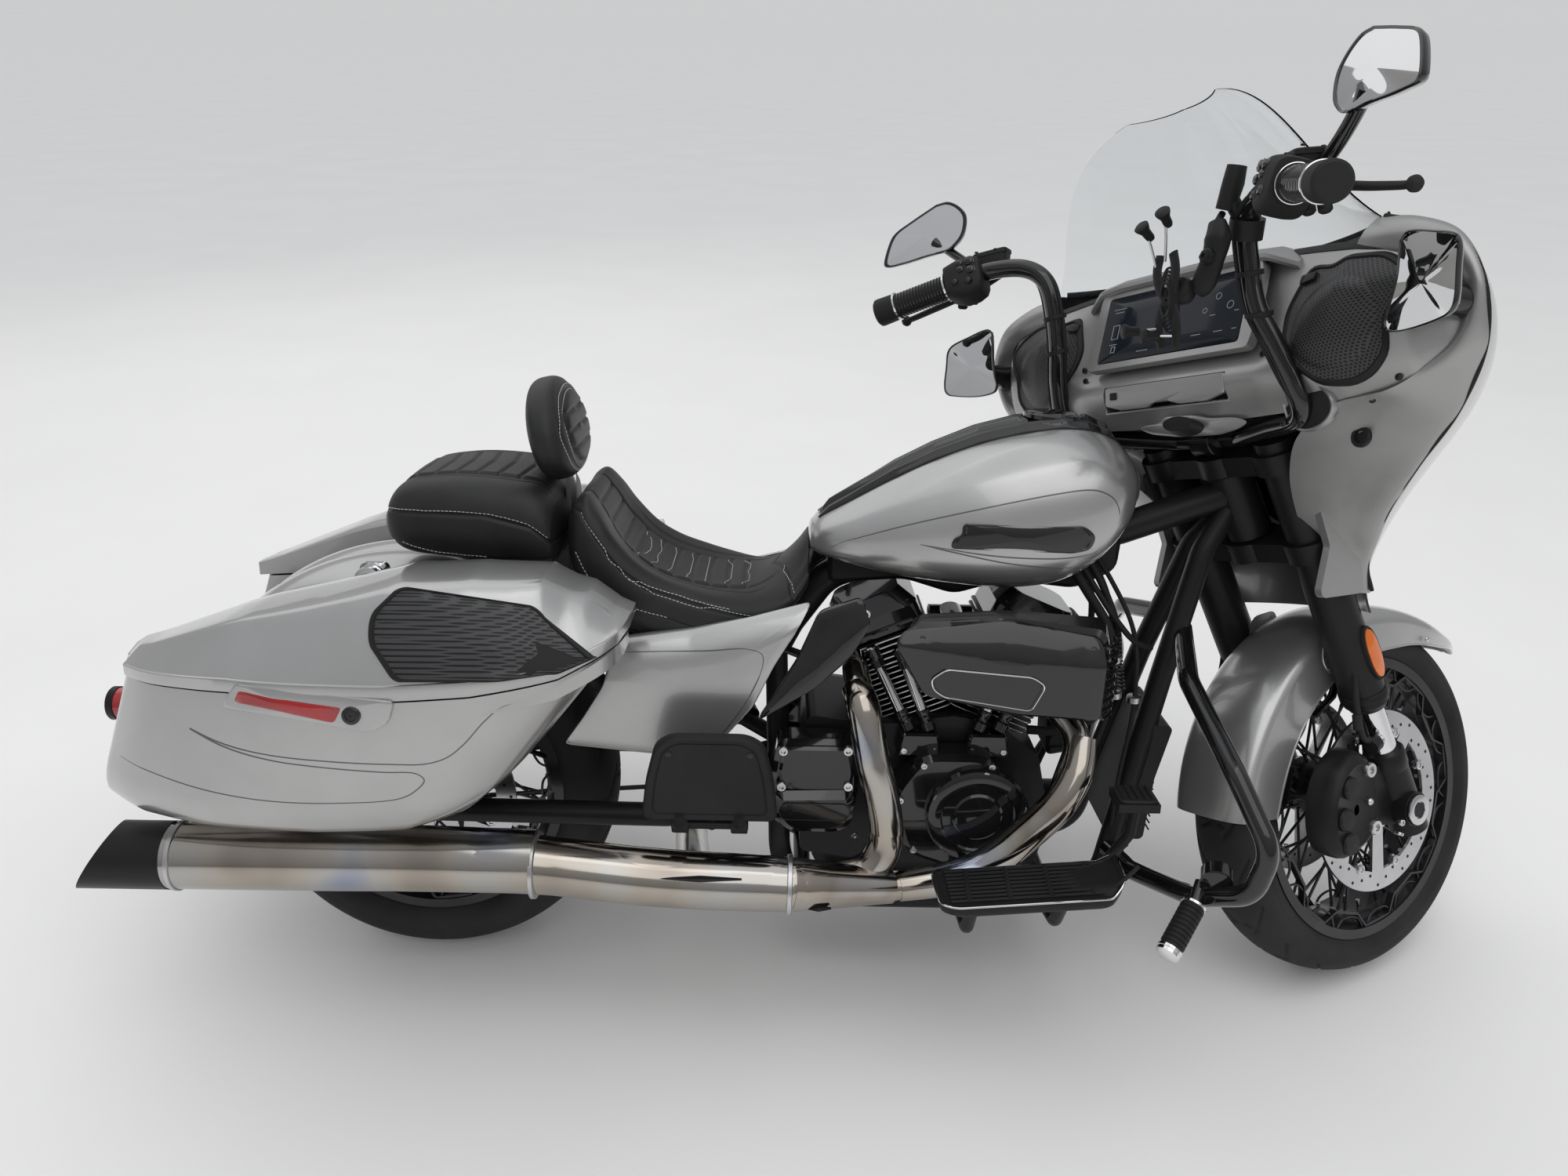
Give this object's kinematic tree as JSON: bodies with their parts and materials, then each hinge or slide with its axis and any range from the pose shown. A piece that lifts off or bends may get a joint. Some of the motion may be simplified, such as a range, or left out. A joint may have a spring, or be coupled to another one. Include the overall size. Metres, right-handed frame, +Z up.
{
  "type": "touring cruiser motorcycle",
  "caption": "Silver touring cruiser with a fork-mounted fairing, tall screen, V-twin engine, hard saddlebags, leather seats and backrest, parked on its side stand.",
  "frame": {"origin": "middle of the bounding box in plan, on the ground", "axes": "+X towards the front of the machine, +Y to the rider's left, +Z up; the machine leans to its left on its stand, and the fork is turned to its left stop"},
  "size_m": [2.3967, 1.0076, 1.5722],
  "materials": {
    "tyre_rubber": "black tyre",
    "black_rim": "satin black with steel spokes",
    "rotor_steel": "ground steel",
    "gloss_black": "gloss black paint",
    "satin_black": "satin black paint",
    "silver_paint": "silver metallic paint under clear coat",
    "satin_silver": "satin silver paint",
    "black_plastic": "matt black",
    "chrome": "polished",
    "brushed_pipe": "brushed steel, heat tinted at the bends",
    "cast_black": "black cast aluminium with bright fin edges",
    "leather": "black, pleated and stitched in white",
    "clear_screen": "clear",
    "lamp": "clear lens",
    "red_lens": "red lens",
    "screen_black": "black glass",
    "black_rubber": "ribbed"
  },
  "bodies": {
    "chassis": {"main_frame": "satin_black", "crankcase": "cast_black", "cylinders": "cast_black", "rocker_boxes": "gloss_black", "pushrod_tubes": "chrome", "engine_covers": "gloss_black", "air_cleaner": "gloss_black", "exhaust_headers": "brushed_pipe", "mufflers": "brushed_pipe", "muffler_tips": "satin_black", "fuel_tank": "silver_paint", "tank_console": "gloss_black", "rider_seat": "leather", "pillion_seat": "leather", "backrest_pad": "leather", "side_covers": "silver_paint", "mid_deflectors": "silver_paint", "bag_right": "silver_paint", "bag_left": "silver_paint", "rear_fender": "silver_paint", "tail_lamps": "red_lens", "plate_bracket": "satin_black", "backrest_bracket": "chrome", "swingarm": "satin_black", "drive_belt": "black_rubber", "engine_guard": "gloss_black", "chin_guard": "black_plastic", "floorboards": "black_rubber", "board_brackets": "satin_black", "foot_controls": "satin_black"},
    "steering": {"fork_uppers": "satin_black", "fork_tubes": "chrome", "fork_lugs": "gloss_black", "front_calipers": "gloss_black", "front_fender": "silver_paint", "fairing_outer": "silver_paint", "headlamp": "lamp", "fairing_inner": "satin_silver", "windscreen": "clear_screen", "display": "screen_black", "handlebar": "gloss_black", "hand_controls": "black_rubber", "mirrors": "gloss_black", "phone_mount": "black_plastic"},
    "front_wheel": {"front_tyre": "tyre_rubber", "front_wheel": "black_rim", "front_rotors": "rotor_steel"},
    "rear_wheel": {"rear_tyre": "tyre_rubber", "rear_wheel": "black_rim", "rear_rotor": "rotor_steel"},
    "side_stand": {"side_stand": "satin_black"},
    "lid_right": {"lid_right": "silver_paint"},
    "lid_left": {"lid_left": "silver_paint"},
    "storage_door": {"storage_door": "black_plastic"},
    "passenger_board_right": {"passenger_board_right": "black_rubber"},
    "passenger_board_left": {"passenger_board_left": "black_rubber"}
  },
  "joints": [
    {"name": "steering", "type": "hinge", "parent": "chassis", "child": "steering", "pos_m": [0.69129, -0.0097, 0.77949], "axis": [0.4302, -0.1329, -0.8929], "range_deg": [0, 63.6]},
    {"name": "front_wheel_spin", "type": "hinge", "parent": "steering", "child": "front_wheel", "pos_m": [0.90887, -0.08742, 0.30361], "axis": [-0.4768, 0.8064, -0.3497], "continuous": true},
    {"name": "rear_wheel_spin", "type": "hinge", "parent": "chassis", "child": "rear_wheel", "pos_m": [-0.71774, -0.07947, 0.32556], "axis": [-0.0014, 0.989, -0.1478], "continuous": true},
    {"name": "side_stand_swing", "type": "hinge", "parent": "chassis", "child": "side_stand", "pos_m": [0.13039, 0.05444, 0.1178], "axis": [0.0653, 0.5225, 0.8501], "range_deg": [0, 105]},
    {"name": "lid_right_hinge", "type": "hinge", "parent": "chassis", "child": "lid_right", "pos_m": [-0.71368, -0.2053, 0.76902], "axis": [-1, 0, 0.0092], "range_deg": [0, 70]},
    {"name": "lid_left_hinge", "type": "hinge", "parent": "chassis", "child": "lid_left", "pos_m": [-0.7142, 0.17053, 0.71285], "axis": [1, 0, -0.0092], "range_deg": [0, 70]},
    {"name": "storage_door_hinge", "type": "hinge", "parent": "steering", "child": "storage_door", "pos_m": [0.50413, -0.00783, 1.039], "axis": [-0.4768, 0.8064, -0.3497], "range_deg": [0, 75]},
    {"name": "passenger_board_right_fold", "type": "hinge", "parent": "chassis", "child": "passenger_board_right", "pos_m": [-0.20883, -0.35544, 0.42282], "axis": [1, 0, -0.0092], "range_deg": [0, 90]},
    {"name": "passenger_board_left_fold", "type": "hinge", "parent": "chassis", "child": "passenger_board_left", "pos_m": [-0.20961, 0.21424, 0.33768], "axis": [-1, 0, 0.0092], "range_deg": [0, 90]}
  ]
}
